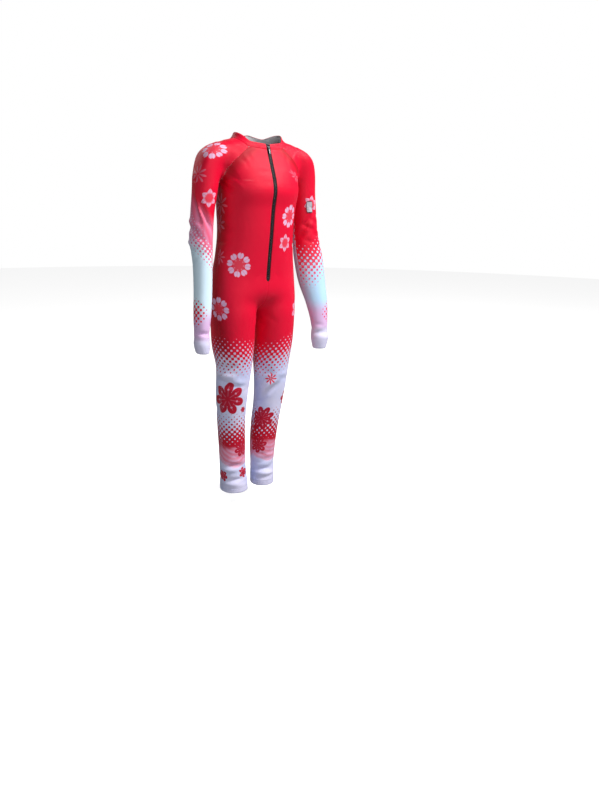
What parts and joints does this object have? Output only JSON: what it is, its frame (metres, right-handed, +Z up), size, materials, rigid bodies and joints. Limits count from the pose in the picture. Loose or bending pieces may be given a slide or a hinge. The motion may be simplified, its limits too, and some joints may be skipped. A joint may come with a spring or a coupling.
{
  "type": "ski race suit",
  "caption": "One-piece child's ski race suit in worn form, empty, with long raglan sleeves, low neckband, front zip with a hinged pull, and ankle bands.",
  "frame": {"origin": "middle of the shoulder line at the base of the neck, where the worn suit is held", "axes": "+Z up, +X to the wearer's left, the front faces -Y"},
  "size_m": [0.4724, 0.2195, 1.1124],
  "materials": {
    "suit_front_right": "satin knit",
    "suit_front_left": "satin knit",
    "suit_back_right": "satin knit",
    "suit_back_left": "satin knit",
    "sleeve_knit": "satin knit",
    "neckband_knit": "satin knit",
    "ankle_knit": "satin knit",
    "zip_tape": "matt woven",
    "zip_teeth": "moulded",
    "zip_metal": "satin black",
    "badge_woven": "matt woven"
  },
  "bodies": {
    "suit": {"front_right": "suit_front_right", "front_left": "suit_front_left", "back_right": "suit_back_right", "back_left": "suit_back_left", "sleeve_right": "sleeve_knit", "sleeve_left": "sleeve_knit", "collar": "neckband_knit", "hem_right": "ankle_knit", "hem_left": "ankle_knit", "zip_tape_right": "zip_tape", "zip_tape_left": "zip_tape", "zip_chain": "zip_teeth", "zip_stop": "zip_metal", "zip_slider": "zip_metal", "sleeve_badge": "badge_woven"},
    "pull": {"zip_pull": "zip_metal"}
  },
  "joints": [
    {"name": "pull_hinge", "type": "hinge", "parent": "suit", "child": "pull", "pos_m": [0, -0.05315, -0.03532], "axis": [-1, 0, 0], "range_deg": [0, 165]}
  ]
}
